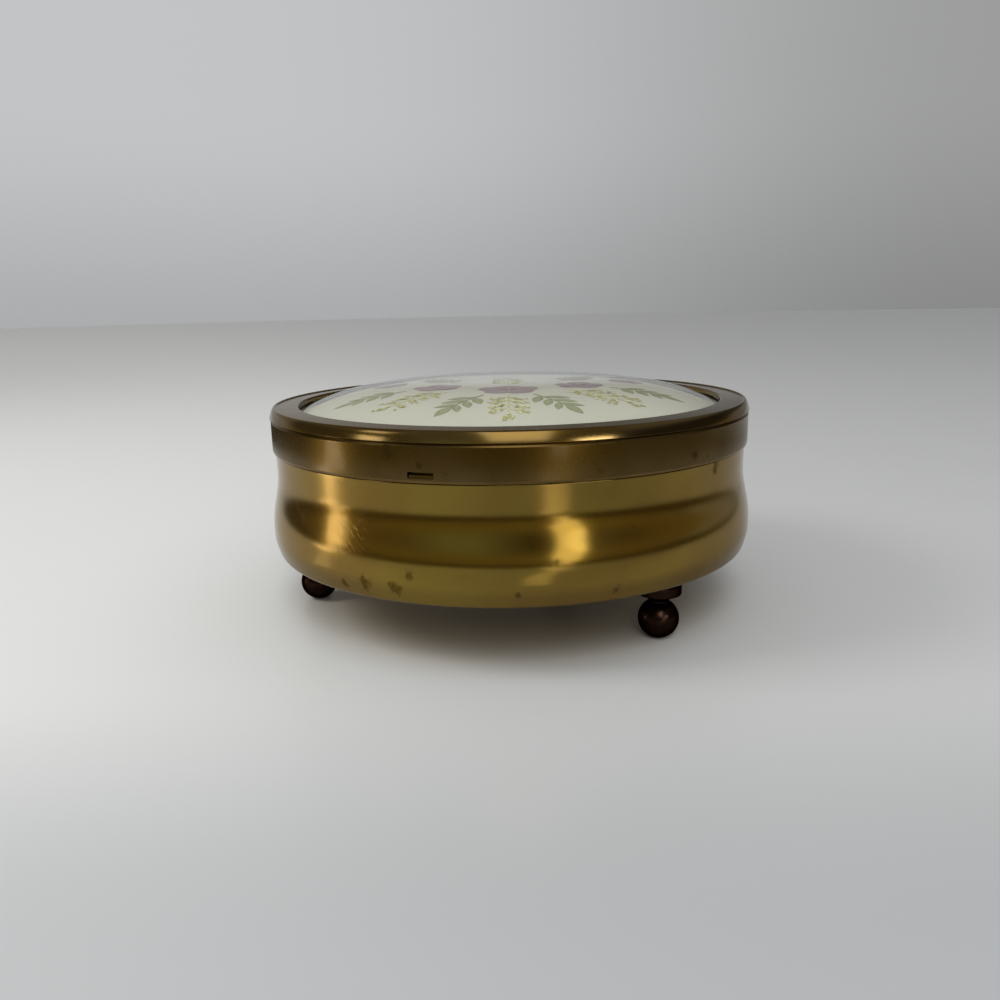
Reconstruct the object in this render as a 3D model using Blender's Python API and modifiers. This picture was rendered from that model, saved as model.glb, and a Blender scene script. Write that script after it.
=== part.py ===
"""Round brass trinket box on three ball feet, with a lift-off lid.

The lid frames pressed flowers, laid on silk under a clear domed cover. Lengths are in metres and
+Z is up. The origin is on the table under the middle of the box, and the front faces -Y.
Directions round the box are in degrees from the front, positive towards +X.
"""

from math import acos, cos, pi, radians, sin, sqrt, tan

import bmesh
import bpy
from mathutils import Matrix, Vector

# Gaps, rounding and facets
GAP = 0.0003
SLIDE_GAP = 0.00043
MERGE = 0.00001
FACETS = 44
FOOT_FACETS = 18
SCREW_FACETS = 12
FILLET_STEPS = 3
FILLET_SHARE = 0.48
DOME_STEPS = 4
BEAD_STEPS = 5
SWELL_STEPS = 5
FLARE_STEPS = 3
BALL_STEPS = 6
CROWN_STEPS = 2
CUT_THROUGH = 4

# Lid shell, heights measured up from its lower edge
LID_SHEET = 0.0005
SKIRT_RADIUS = 0.0500
SKIRT_HEIGHT = 0.00645
EDGE_TURN = 0.00022
EDGE_TURN_HEIGHT = 0.0009
GROOVE_DEPTH = 0.0005
GROOVE_SLOPE = 0.0004
BEAD_RADIUS = 0.0010
BEAD_PROUD = 0.00015
BEAD_TURN = 105.0
VALLEY_DEPTH = 0.00012
RIM_WIDTH = 0.00578
RIM_SLOPE = 0.00048
RIM_FILLET = 0.0004

# Lanced grips near the skirt's lower edge
LANCE_COUNT = 3
LANCE_TURN = -17.0
LANCE_WIDTH = 0.0046
LANCE_FOOT = 0.00075
LANCE_TAB = 0.0006
LANCE_SLOT = 0.0005

# Clear cover and what it closes in
COVER_THICKNESS = 0.0008
COVER_RISE = 0.0053
FLOWER_THICKNESS = 0.0003
SILK_THICKNESS = 0.0004
WADDING_MARGIN = 0.0040
PLATE_SHEET = 0.0005
PLATE_EDGE = 0.0005
LINING_THICKNESS = 0.0008
LINING_MARGIN = 0.00085

# Brass bowl
BOWL_SHEET = 0.0006
NECK_INSET = 0.0006
NECK_HEIGHT = 0.0043
BELLY_SWELL = 0.00154
BELLY_TO_NECK = 0.0109
FLOOR_TO_BELLY = 0.0071
BELLY_FILLET = 0.017
BELLY_FILLET_SHARE = 0.59
CORNER_INSET = 0.00092
CORNER_RISE = 0.00155
CORNER_FILLET = 0.0013
FLOOR_INSET = 0.00504
FLOOR_FILLET = 0.0025

# Ball feet
FOOT_NAMES = ("front_right", "rear", "left")
FOOT_TURN = 40.2
FOOT_INSET = 0.00324
BALL_RADIUS = 0.00387
WORN_RADIUS = 0.0010
WAIST_RADIUS = 0.00195
FLARE_HEIGHT = 0.0016
FLANGE_RADIUS = 0.0042
FLANGE_THICKNESS = 0.0020

# Foot screws, driven from inside the bowl
SHANK_RADIUS = 0.00095
SCREW_DEPTH = 0.0040
HEAD_RADIUS = 0.0018
HEAD_HEIGHT = 0.0009
HEAD_RIM = 0.0003
HEAD_CLEARANCE = 0.0005
SLOT_WIDTH = 0.0004
SLOT_DEPTH = 0.00035

# Pad on the bowl's floor
BOARD_THICKNESS = 0.0012
VELVET_THICKNESS = 0.0012
VELVET_CROWN = 0.0003
VELVET_MARGIN = 0.00082

# Radii of the pieces that fit one another
skirt_inside = SKIRT_RADIUS - LID_SHEET
groove_radius = SKIRT_RADIUS - GROOVE_DEPTH
bead_centre = SKIRT_RADIUS + BEAD_PROUD - BEAD_RADIUS
lip_radius = SKIRT_RADIUS - RIM_WIDTH
dome_radius = lip_radius - GAP
cover_radius = groove_radius - LID_SHEET - GAP
plate_radius = skirt_inside - GAP
silk_radius = plate_radius - PLATE_SHEET - GAP
collar_radius = SKIRT_RADIUS - EDGE_TURN - LID_SHEET - SLIDE_GAP
lining_radius = collar_radius - BOWL_SHEET - LINING_MARGIN
neck_radius = SKIRT_RADIUS - NECK_INSET
belly_radius = neck_radius + BELLY_SWELL
corner_radius = belly_radius - CORNER_INSET
floor_radius = belly_radius - FLOOR_INSET
board_radius = floor_radius - GAP
velvet_radius = corner_radius - BOWL_SHEET - VELVET_MARGIN
foot_circle = floor_radius - FOOT_INSET
tapped_radius = SHANK_RADIUS + GAP

# Heights above the table, from the feet up
ball_centre = sqrt(BALL_RADIUS**2 - WORN_RADIUS**2)
waist_height = ball_centre + sqrt(BALL_RADIUS**2 - WAIST_RADIUS**2)
foot_height = waist_height + FLARE_HEIGHT + FLANGE_THICKNESS
floor_height = foot_height + GAP
belly_height = floor_height + FLOOR_TO_BELLY
neck_height = belly_height + BELLY_TO_NECK
shoulder_height = neck_height + NECK_HEIGHT
lid_height = shoulder_height + GAP
pad_height = floor_height + BOWL_SHEET + GAP

# Heights inside the lid, above the lid's lower edge
bead_height = SKIRT_HEIGHT + BEAD_RADIUS
bead_end = radians(BEAD_TURN)
valley_radius = bead_centre + BEAD_RADIUS * cos(bead_end) - VALLEY_DEPTH
valley_height = bead_height + BEAD_RADIUS * sin(bead_end) - VALLEY_DEPTH
cover_top = valley_height - LID_SHEET - GAP
flower_top = cover_top - COVER_THICKNESS - GAP
silk_top = flower_top - FLOWER_THICKNESS - GAP
plate_top = silk_top - SILK_THICKNESS - GAP
lining_top = plate_top - PLATE_SHEET - GAP
collar_top = lid_height + plate_top - PLATE_SHEET - GAP

# Pressed blossoms: petals round a centre, with a notch between each pair
PETALS = 5
PETAL_POINTS = 6
PETAL_NOTCH = 0.42

# Pressed sprays: lobes in pairs up a stem, each lobe as (share of its length, half width over length)
STEM_RADIUS = 0.00022
STEM_TAPER = 0.3
STEM_TIP = 0.35
LEAFLET = ((0.30, 0.16), (0.62, 0.19), (1.00, 0.0))
LEAFLET_PAIRS = 3
LEAFLET_SHARE = 0.36
LEAFLET_SPREAD = 48
FLORET = ((0.50, 0.035), (0.66, 0.19), (0.95, 0.14))
FLORET_PAIRS = 4
FLORET_SHARE = 0.27
FLORET_SPREAD = 52

# Where the flowers lie on the silk: x and y, then size, and the heading of what has a stem.
# Places and sizes count in parts of the clear window's radius, which WINDOW_PARTS of them fill.
WINDOW_PARTS = 4392
BLOSSOMS = (
    (0, -1500, 600),
    (-1450, -850, 500),
    (1450, -850, 500),
    (-2550, 250, 380),
    (2550, 250, 380),
)
LEAF_SPRIGS = (
    (-500, -2200, 1500, 236),
    (500, -2200, 1500, 304),
    (-2050, -1150, 1500, 202),
    (2050, -1150, 1500, 338),
    (-1150, 0, 1600, 118),
    (1150, 0, 1600, 62),
)
FLORET_SPRAYS = (
    (-1200, -1600, 1700, 222),
    (1200, -1600, 1700, 318),
    (0, -2250, 1600, 270),
    (0, -700, 1500, 90),
)


def clear_scene():
    for thing in list(bpy.data.objects):
        bpy.data.objects.remove(thing)


def new_collection(name):
    collection = bpy.data.collections.new(name)
    bpy.context.scene.collection.children.link(collection)
    return collection


def new_material(name, colour, roughness, metallic=0.0, alpha=1.0):
    material = bpy.data.materials.new(name)
    material.use_nodes = True
    shader = material.node_tree.nodes["Principled BSDF"]
    shader.inputs["Base Color"].default_value = (*colour, 1.0)
    shader.inputs["Roughness"].default_value = roughness
    shader.inputs["Metallic"].default_value = metallic
    shader.inputs["Alpha"].default_value = alpha
    return material


def new_object(name, mesh, collection, material=None, parent=None, place=(0, 0, 0)):
    thing = bpy.data.objects.new(name, mesh)
    collection.objects.link(thing)
    thing.location = place
    thing.parent = parent
    if material:
        mesh.materials.append(material)
    return thing


def new_frame(name, height):
    """An empty on the box's axis that carries the pieces of one body."""
    frame = bpy.data.objects.new(name, None)
    box.objects.link(frame)
    frame.location = (0, 0, height)
    return frame


def round_place(radius, degrees, height=0.0):
    turn = radians(degrees)
    return Vector((radius * sin(turn), -radius * cos(turn), height))


def rounded(corners, steps=FILLET_STEPS):
    """Profile points from corners of (radius, height, fillet), each fillet turned into an arc."""
    points = []
    for index, (radius, height, fillet) in enumerate(corners):
        corner = Vector((radius, height))
        if not fillet:
            points.append(corner)
            continue
        before = Vector(corners[index - 1][:2]) - corner
        after = Vector(corners[index + 1][:2]) - corner
        half_angle = before.angle(after) / 2
        shorter = min(before.length, after.length)
        reach = min(fillet / tan(half_angle), shorter * FILLET_SHARE)
        inward = (before.normalized() + after.normalized()).normalized()
        centre = corner + inward * reach / cos(half_angle)
        first = corner + before.normalized() * reach - centre
        last = corner + after.normalized() * reach - centre
        for step in range(steps + 1):
            spoke = first.lerp(last, step / steps).normalized() * first.length
            points.append(centre + spoke)
    return points


def arc(centre, radius, start, end, steps):
    """Profile points on a circle, from one angle to another."""
    angles = [start + (end - start) * step / steps for step in range(steps + 1)]
    return [Vector(centre) + Vector((cos(angle), sin(angle))) * radius for angle in angles]


def turned(name, profile, material, parent=None, sheet=0.0, facets=FACETS, place=(0, 0, 0)):
    """A turned piece: a profile spun round Z, and thickened inwards where it is sheet metal."""
    mesh = bpy.data.meshes.new(name)
    corners = [(point[0], 0.0, point[1]) for point in profile]
    mesh.from_pydata(corners, [(i, i + 1) for i in range(len(corners) - 1)], [])
    piece = new_object(name, mesh, box, material, parent, place)
    spin = piece.modifiers.new("Spin", "SCREW")
    spin.axis = "Z"
    spin.angle = 2 * pi
    spin.steps = facets
    spin.render_steps = facets
    spin.use_merge_vertices = True
    spin.merge_threshold = MERGE
    if sheet:
        wall = piece.modifiers.new("Sheet", "SOLIDIFY")
        wall.thickness = sheet
        wall.offset = -1
        wall.use_even_offset = True
    return piece


def cut(piece, cutter, operation="DIFFERENCE"):
    modifier = piece.modifiers.new(cutter.name, "BOOLEAN")
    modifier.operation = operation
    modifier.object = cutter


def new_cutter(name, shape, parent, place, degrees=0.0):
    """A hidden cutting body, turned so that its local -Y points away from the box's axis."""
    mesh = bpy.data.meshes.new(name)
    shape.to_mesh(mesh)
    shape.free()
    cutter = new_object(name, mesh, cutters, None, parent, place)
    cutter.rotation_euler = (0, 0, radians(degrees))
    cutter.hide_render = True
    cutter.display_type = "WIRE"
    return cutter


def rod(radius, length, segments=16):
    shape = bmesh.new()
    bmesh.ops.create_cone(
        shape, cap_ends=True, segments=segments, radius1=radius, radius2=radius, depth=length
    )
    return shape


def block(width, depth, height):
    shape = bmesh.new()
    bmesh.ops.create_cube(shape, size=1.0, matrix=Matrix.Diagonal((width, depth, height, 1.0)))
    return shape


def dome(radius):
    """Height of the cover's spherical cap above its flat rim, at a distance from the axis."""
    sphere = (dome_radius**2 + COVER_RISE**2) / (2 * COVER_RISE)
    return max(0.0, sqrt(sphere**2 - min(radius, dome_radius) ** 2) - sphere + COVER_RISE)


def dome_cap(rim_height, edge_radius):
    """Profile points from the axis down over the cap, as far as an edge."""
    radii = [edge_radius * step / DOME_STEPS for step in range(DOME_STEPS + 1)]
    return [Vector((radius, rim_height + dome(radius))) for radius in radii]


def domed_profile(rim_height, outer_radius):
    """The whole cap, then out along the flat rim."""
    return dome_cap(rim_height, dome_radius) + [Vector((outer_radius, rim_height))]


def make_lid_shell(parent):
    """Drawn brass ring: turned-down lip, sloping rim, rolled bead, groove and skirt in one sheet."""
    lip_end = cover_top + GAP
    rim_top = valley_height + RIM_SLOPE
    bead_start = -acos((groove_radius - bead_centre) / BEAD_RADIUS)
    lip_and_rim = [
        (lip_radius, lip_end, 0),
        (lip_radius, rim_top, RIM_FILLET),
        (valley_radius, valley_height, 0),
    ]
    profile = rounded(lip_and_rim)
    profile += arc((bead_centre, bead_height), BEAD_RADIUS, bead_end, bead_start, BEAD_STEPS)
    profile += [
        Vector((SKIRT_RADIUS, SKIRT_HEIGHT - GROOVE_SLOPE)),
        Vector((SKIRT_RADIUS, EDGE_TURN_HEIGHT)),
        Vector((SKIRT_RADIUS - EDGE_TURN, 0)),
    ]
    shell = turned("lid_shell", profile, brass, parent, LID_SHEET)
    for index in range(LANCE_COUNT):
        add_lance(shell, index, LANCE_TURN + index * 360 / LANCE_COUNT, parent)


def add_lance(shell, index, degrees, parent):
    """A slit in the skirt, with the strip under it pushed in until it grips the collar."""
    window_height = LANCE_TAB + LANCE_SLOT
    window = block(LANCE_WIDTH, LID_SHEET * CUT_THROUGH, window_height)
    place = round_place(SKIRT_RADIUS - LID_SHEET / 2, degrees, LANCE_FOOT + window_height / 2)
    cut(shell, new_cutter(f"lance_window_{index + 1}", window, parent, place, degrees))

    root = LID_SHEET / 5
    push = skirt_inside - collar_radius - GAP
    strip = block(LANCE_WIDTH - LID_SHEET / 2, LID_SHEET, LANCE_TAB + root)
    for corner in strip.verts:
        if corner.co.z > 0:
            corner.co.y += push
    place = round_place(skirt_inside + LID_SHEET / 2, degrees, LANCE_FOOT + (LANCE_TAB - root) / 2)
    cut(shell, new_cutter(f"lance_strip_{index + 1}", strip, parent, place, degrees), "UNION")


def make_lid_filling(parent):
    """Clear cover, silk, wadding, the plate that locks them in, and the lining glued under it."""
    turned("clear_cover", domed_profile(cover_top, cover_radius), clear, parent, COVER_THICKNESS)
    turned("silk_ground", domed_profile(silk_top, silk_radius), silk, parent, SILK_THICKNESS)

    wadding_radius = dome_radius - WADDING_MARGIN
    wadding_base = plate_top + GAP
    profile = dome_cap(silk_top - SILK_THICKNESS - GAP, wadding_radius)
    profile += [Vector((wadding_radius, wadding_base)), Vector((0, wadding_base))]
    turned("wadding_pad", profile, wadding, parent)

    profile = [
        Vector((0, plate_top)),
        Vector((plate_radius - PLATE_SHEET, plate_top)),
        Vector((plate_radius - PLATE_SHEET, plate_top + PLATE_EDGE)),
    ]
    turned("lock_plate", profile, tinned, parent, PLATE_SHEET)

    edge = LINING_THICKNESS / 3
    lining_base = lining_top - LINING_THICKNESS
    profile = [
        (0, lining_top, 0),
        (lining_radius, lining_top, 0),
        (lining_radius, lining_base, edge),
        (0, lining_base, 0),
    ]
    turned("lid_lining", rounded(profile, 2), velvet, parent)


def lay_flat(name, outline, material, parent):
    """A thin piece cut to a flat outline and bent to the dome, under the cover."""
    curve = bpy.data.curves.new(name, "CURVE")
    curve.dimensions = "2D"
    curve.fill_mode = "BOTH"
    curve.extrude = FLOWER_THICKNESS / 2
    spline = curve.splines.new("POLY")
    spline.points.add(len(outline) - 1)
    for point, place in zip(spline.points, outline):
        point.co = (place.x, place.y, 0, 1)
    spline.use_cyclic_u = True
    pattern = new_object(name, curve, box)
    bpy.context.view_layer.update()
    mesh = bpy.data.meshes.new_from_object(pattern.evaluated_get(bpy.context.evaluated_depsgraph_get()))
    bpy.data.objects.remove(pattern)

    shape = bmesh.new()
    shape.from_mesh(mesh)
    bmesh.ops.remove_doubles(shape, verts=shape.verts, dist=MERGE)
    for corner in shape.verts:
        corner.co.z += flower_top - FLOWER_THICKNESS / 2 + dome(corner.co.xy.length)
    bmesh.ops.recalc_face_normals(shape, faces=shape.faces)
    shape.to_mesh(mesh)
    shape.free()
    return new_object(name, mesh, box, material, parent)


def blossom_outline(x, y, size):
    """Round petals with a notch between each pair, each blossom turned its own way."""
    outline = []
    turn = x / size
    for step in range(PETALS * PETAL_POINTS):
        share = step / PETAL_POINTS % 1
        reach = size * (PETAL_NOTCH + (1 - PETAL_NOTCH) * sqrt(sin(pi * share)))
        angle = turn + 2 * pi * step / (PETALS * PETAL_POINTS)
        outline.append(Vector((x + reach * cos(angle), y + reach * sin(angle))))
    return outline


def lobe(root, direction, length, shape):
    """One leaflet or floret: out along its right side, round the tip and back."""
    along = Vector((cos(direction), sin(direction)))
    aside = Vector((-along.y, along.x))
    right = [root + along * length * share - aside * length * width for share, width in shape]
    left = [root + along * length * share + aside * length * width for share, width in reversed(shape)]
    tip_is_pointed = shape[-1][1] == 0
    return right + left[1:] if tip_is_pointed else right + left


def spray_outline(x, y, length, degrees, shape, pairs, lobe_share, spread_degrees):
    """A stem with pairs of lobes and one at its end, walked round as one outline."""
    heading = radians(degrees)
    spread = radians(spread_degrees)
    along = Vector((cos(heading), sin(heading)))
    aside = Vector((-along.y, along.x)) * STEM_RADIUS
    lap = along * STEM_RADIUS
    foot = Vector((x, y))
    stem = length * (1 - lobe_share)
    right = [foot - aside]
    left = [foot + aside]
    for number in range(pairs):
        root = foot + along * stem * (number + 1) / (pairs + STEM_TIP)
        size = length * lobe_share * (1 - STEM_TAPER * number / pairs)
        right_lobe = lobe(root - aside, heading - spread, size, shape)
        left_lobe = lobe(root + aside, heading + spread, size, shape)
        right += [root - aside - lap, *right_lobe, root - aside + lap]
        left += [root + aside - lap, *reversed(left_lobe), root + aside + lap]
    end = lobe(foot + along * stem, heading, length * lobe_share, shape)
    return right + end + left[::-1]


def on_window(place):
    """Lengths that are counted in parts of the window's radius, in metres."""
    return [dome_radius * length / WINDOW_PARTS for length in place]


def make_flowers(parent):
    """Mauve blossoms, grey-green leaf sprigs and yellow-green floret sprays, laid as a crescent."""
    for number, place in enumerate(BLOSSOMS, 1):
        outline = blossom_outline(*on_window(place))
        lay_flat(f"blossom_{number}", outline, mauve, parent)
    for number, (*place, heading) in enumerate(LEAF_SPRIGS, 1):
        form = (LEAFLET, LEAFLET_PAIRS, LEAFLET_SHARE, LEAFLET_SPREAD)
        outline = spray_outline(*on_window(place), heading, *form)
        lay_flat(f"leaf_sprig_{number}", outline, leaf_green, parent)
    for number, (*place, heading) in enumerate(FLORET_SPRAYS, 1):
        form = (FLORET, FLORET_PAIRS, FLORET_SHARE, FLORET_SPREAD)
        outline = spray_outline(*on_window(place), heading, *form)
        lay_flat(f"floret_spray_{number}", outline, floret_yellow, parent)


def make_bowl(parent):
    """Drawn brass bowl: collar for the lid, shoulder, waisted neck, low belly and flat floor.

    Heights here are above the underside of the floor.
    """
    collar_rise = collar_top - floor_height
    shoulder_rise = shoulder_height - floor_height
    neck_rise = neck_height - floor_height
    bend = BOWL_SHEET / 4
    profile = rounded(
        [
            (collar_radius, collar_rise, 0),
            (collar_radius, shoulder_rise, 0),
            (neck_radius, shoulder_rise, bend),
            (neck_radius, neck_rise, 0),
        ],
        1,
    )
    for step in range(1, SWELL_STEPS + 1):
        share = step / SWELL_STEPS
        swell = BELLY_SWELL * (0.5 - 0.5 * cos(pi * share))
        profile.append(Vector((neck_radius + swell, neck_rise - BELLY_TO_NECK * share)))
    belly_bend = CORNER_RISE + (FLOOR_TO_BELLY - CORNER_RISE) * BELLY_FILLET_SHARE
    profile += rounded(
        [
            (belly_radius, FLOOR_TO_BELLY, 0),
            (belly_radius, belly_bend, BELLY_FILLET),
            (corner_radius, CORNER_RISE, CORNER_FILLET),
            (floor_radius, 0, FLOOR_FILLET),
            (0, 0, 0),
        ],
        2,
    )[1:]
    bowl = turned("bowl_shell", profile, brass, parent, BOWL_SHEET)
    for name, place in foot_places(BOWL_SHEET / 2):
        hole = rod(tapped_radius, BOWL_SHEET * CUT_THROUGH)
        cut(bowl, new_cutter(f"screw_hole_{name}", hole, parent, place))


def foot_places(height):
    """Each foot's name and the point on its axis at a height."""
    step = 360 / len(FOOT_NAMES)
    return [
        (name, round_place(foot_circle, FOOT_TURN + index * step, height))
        for index, name in enumerate(FOOT_NAMES)
    ]


def make_feet():
    """Cast ball feet with a waist, a flared neck and a thick flange, tapped for a screw."""
    hole_end = foot_height - SCREW_DEPTH
    flange_base = foot_height - FLANGE_THICKNESS
    flare = []
    for step in range(FLARE_STEPS):
        turn = pi / 2 * step / FLARE_STEPS
        radius = FLANGE_RADIUS - (FLANGE_RADIUS - WAIST_RADIUS) * sin(turn)
        flare.append(Vector((radius, flange_base - FLARE_HEIGHT * (1 - cos(turn)))))
    ball_start = acos(WAIST_RADIUS / BALL_RADIUS)
    ball_end = -acos(WORN_RADIUS / BALL_RADIUS)
    profile = [
        Vector((0, hole_end)),
        Vector((tapped_radius, hole_end)),
        Vector((tapped_radius, foot_height)),
        Vector((FLANGE_RADIUS, foot_height)),
        *flare,
        *arc((0, ball_centre), BALL_RADIUS, ball_start, ball_end, BALL_STEPS),
        Vector((0, 0)),
    ]
    for name, place in foot_places(0):
        turned(f"foot_{name}", profile, bronze, facets=FOOT_FACETS, place=place)


def make_screws():
    """Slotted screws that hold the feet, with their heads on the bowl's floor."""
    shank = SCREW_DEPTH + BOWL_SHEET + GAP
    crown_rise = HEAD_HEIGHT - HEAD_RIM
    crown_radius = (HEAD_RADIUS**2 + crown_rise**2) / (2 * crown_rise)
    crown_end = acos(HEAD_RADIUS / crown_radius)
    profile = [
        *arc((0, HEAD_HEIGHT - crown_radius), crown_radius, pi / 2, crown_end, CROWN_STEPS),
        Vector((HEAD_RADIUS, 0)),
        Vector((SHANK_RADIUS, 0)),
        Vector((SHANK_RADIUS, -shank)),
        Vector((0, -shank)),
    ]
    for name, place in foot_places(pad_height):
        screw = turned(f"foot_screw_{name}", profile, steel, facets=SCREW_FACETS, place=place)
        slot = block(HEAD_RADIUS * CUT_THROUGH, SLOT_WIDTH, SLOT_DEPTH * 2)
        top = place + Vector((0, 0, HEAD_HEIGHT))
        cut(screw, new_cutter(f"screw_slot_{name}", slot, None, top, FOOT_TURN))


def make_pad():
    """Card board with holes over the screw heads, and the velvet pad glued to it."""
    profile = [(0, BOARD_THICKNESS), (board_radius, BOARD_THICKNESS), (board_radius, 0), (0, 0)]
    board = turned("base_board", profile, card, place=(0, 0, pad_height))
    hole_radius = HEAD_RADIUS + HEAD_CLEARANCE
    for name, place in foot_places(pad_height + BOARD_THICKNESS / 2):
        hole = rod(hole_radius, BOARD_THICKNESS * CUT_THROUGH)
        cut(board, new_cutter(f"head_hole_{name}", hole, None, place))

    flat_radius = velvet_radius - VELVET_THICKNESS * 2
    edge_top = VELVET_THICKNESS - VELVET_CROWN
    profile = rounded(
        [
            (0, VELVET_THICKNESS, 0),
            (flat_radius, VELVET_THICKNESS - VELVET_CROWN / 3, 0),
            (velvet_radius, edge_top, edge_top / 3),
            (velvet_radius, 0, edge_top / 3),
            (0, 0, 0),
        ],
        2,
    )
    velvet_height = pad_height + BOARD_THICKNESS + GAP
    turned("base_velvet", profile, velvet, place=(0, 0, velvet_height))


clear_scene()
box = new_collection("Trinket box")
cutters = new_collection("Cutters")

brass = new_material("Aged brass", (0.34, 0.25, 0.085), 0.33, 1.0)
bronze = new_material("Dark patina", (0.045, 0.026, 0.018), 0.35, 0.8)
steel = new_material("Screw steel", (0.45, 0.43, 0.40), 0.4, 1.0)
tinned = new_material("Tinned plate", (0.60, 0.59, 0.56), 0.35, 1.0)
clear = new_material("Clear cover", (0.95, 0.97, 0.96), 0.05, 0.0, 0.15)
silk = new_material("Celadon silk", (0.78, 0.80, 0.68), 0.6)
wadding = new_material("Cotton wadding", (0.85, 0.83, 0.78), 0.95)
velvet = new_material("Wine velvet", (0.20, 0.03, 0.045), 0.9)
card = new_material("Grey card", (0.42, 0.38, 0.32), 0.85)
mauve = new_material("Pressed petals", (0.36, 0.22, 0.34), 0.7)
leaf_green = new_material("Pressed leaves", (0.27, 0.31, 0.18), 0.7)
floret_yellow = new_material("Pressed florets", (0.58, 0.56, 0.24), 0.7)

bowl_frame = new_frame("bowl_frame", floor_height)
lid_frame = new_frame("lid_frame", lid_height)

make_bowl(bowl_frame)
make_feet()
make_screws()
make_pad()
make_lid_shell(lid_frame)
make_lid_filling(lid_frame)
make_flowers(lid_frame)
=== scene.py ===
"""Looks of a round brass trinket box, with pressed flowers under the clear cover of its lid.

Every piece is made in metres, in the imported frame: +Z is up, the front faces -Y, and the feet
stand on the table at height 0.
"""

from math import acos, cos, pi, radians, sin, sqrt, tan
from random import Random

import bpy
from mathutils import Matrix, Vector


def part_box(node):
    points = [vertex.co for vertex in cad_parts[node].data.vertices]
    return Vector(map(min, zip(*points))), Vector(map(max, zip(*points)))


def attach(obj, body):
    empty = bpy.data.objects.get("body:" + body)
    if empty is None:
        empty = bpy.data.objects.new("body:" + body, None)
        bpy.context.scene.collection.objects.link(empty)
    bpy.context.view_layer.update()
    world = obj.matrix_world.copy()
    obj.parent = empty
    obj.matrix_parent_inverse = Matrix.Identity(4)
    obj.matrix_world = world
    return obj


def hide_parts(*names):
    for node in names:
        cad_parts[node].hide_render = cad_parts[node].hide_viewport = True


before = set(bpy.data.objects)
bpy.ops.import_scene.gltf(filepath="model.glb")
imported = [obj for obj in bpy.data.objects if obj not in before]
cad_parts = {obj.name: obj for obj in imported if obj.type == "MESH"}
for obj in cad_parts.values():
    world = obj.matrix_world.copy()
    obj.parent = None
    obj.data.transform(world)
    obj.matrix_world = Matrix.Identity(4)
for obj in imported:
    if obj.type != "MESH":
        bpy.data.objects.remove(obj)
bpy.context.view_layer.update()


# Camera, table and light. The box stands on a pale satin table before a pale wall. The table's
# colour carries painted light to the left and painted shade in front and under the box. The
# windows, and the glare that they throw on the table, are lamps that only the box mirrors. The
# room behind the camera is dark but for an open doorway, and the brass shows it as dark bands.
class Shade:
    """One socket of a material. Sums and products of sockets add their Math nodes."""

    def __init__(self, tree, socket=None):
        self.tree = tree
        self.socket = socket

    def node(self, kind, sockets, output=0, **settings):
        """Any node, by its type, its settings, and the values or links of its sockets."""
        new = self.tree.nodes.new("ShaderNode" + kind)
        for name, value in settings.items():
            setattr(new, name, value)
        for name, value in sockets.items():
            if isinstance(value, Shade):
                self.tree.links.new(value.socket, new.inputs[name])
            else:
                new.inputs[name].default_value = value
        return Shade(self.tree, new.outputs[output] if new.outputs else None)

    def __add__(self, other):
        return self.node("Math", {0: self, 1: other}, operation="ADD")

    def __sub__(self, other):
        return self.node("Math", {0: self, 1: other}, operation="SUBTRACT")

    def __rsub__(self, other):
        return self.node("Math", {0: other, 1: self}, operation="SUBTRACT")

    def __mul__(self, other):
        return self.node("Math", {0: self, 1: other}, operation="MULTIPLY")

    def __truediv__(self, other):
        return self.node("Math", {0: self, 1: other}, operation="DIVIDE")

    def __pow__(self, other):
        return self.node("Math", {0: self, 1: other}, operation="POWER")

    __radd__ = __add__
    __rmul__ = __mul__


def begin(owner, coordinates="Object"):
    """Empties a material or a world, and gives the coordinates that its pattern starts from."""
    owner.use_nodes = True
    owner.node_tree.nodes.clear()
    return Shade(owner.node_tree).node("TexCoord", {}, output=coordinates)


def new_paint(name):
    """A new material, with the coordinates that its pattern starts from."""
    material = bpy.data.materials.new(name)
    return material, begin(material)


def relief(place, height, strength, distance):
    """A bumpy surface, from a height that changes over it."""
    return place.node("Bump", {"Height": height, "Strength": strength, "Distance": distance})


def end_paint(place, sockets):
    """Ends a material with one shader and its output."""
    shader = place.node("BsdfPrincipled", sockets)
    place.node("OutputMaterial", {"Surface": shader})


def step_between(value, low, high):
    """0 up to low, 1 from high on, and a soft step between them. Low may be the larger one."""
    return value.node("MapRange", {0: value, 1: low, 2: high}, interpolation_type="SMOOTHSTEP")


def axis_of(place, name):
    return place.node("SeparateXYZ", {0: place}, output=name)


def mixed(factor, first, second, mode="MIX"):
    """Two colours, mixed by a factor."""
    sockets = {0: factor, 6: first, 7: second}
    return factor.node("Mix", sockets, output=2, data_type="RGBA", blend_type=mode)


def noise(place, scale, detail=2.0, roughness=0.5):
    sockets = {"Vector": place, "Scale": scale, "Detail": detail, "Roughness": roughness}
    return place.node("TexNoise", sockets)


def deselect():
    bpy.ops.object.select_all(action="DESELECT")


CAMERA_PLACE = (0.0, -0.1817, 0.0623)
CAMERA_YAW = 0.0125
CAMERA_PITCH = 0.2325
CAMERA_ROLL = -0.021
CAMERA_LENS = 30.2

turn = Matrix.Rotation(CAMERA_YAW, 3, "Z") @ Matrix.Rotation(pi / 2 - CAMERA_PITCH, 3, "X")
turn = turn @ Matrix.Rotation(CAMERA_ROLL, 3, "Z")
deselect()
bpy.ops.object.camera_add(location=CAMERA_PLACE, rotation=turn.to_euler())
camera = bpy.context.object
camera.data.lens = CAMERA_LENS
camera.data.clip_start = 0.01
bpy.context.scene.camera = camera
bpy.context.scene.view_settings.view_transform = "Standard"

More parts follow.
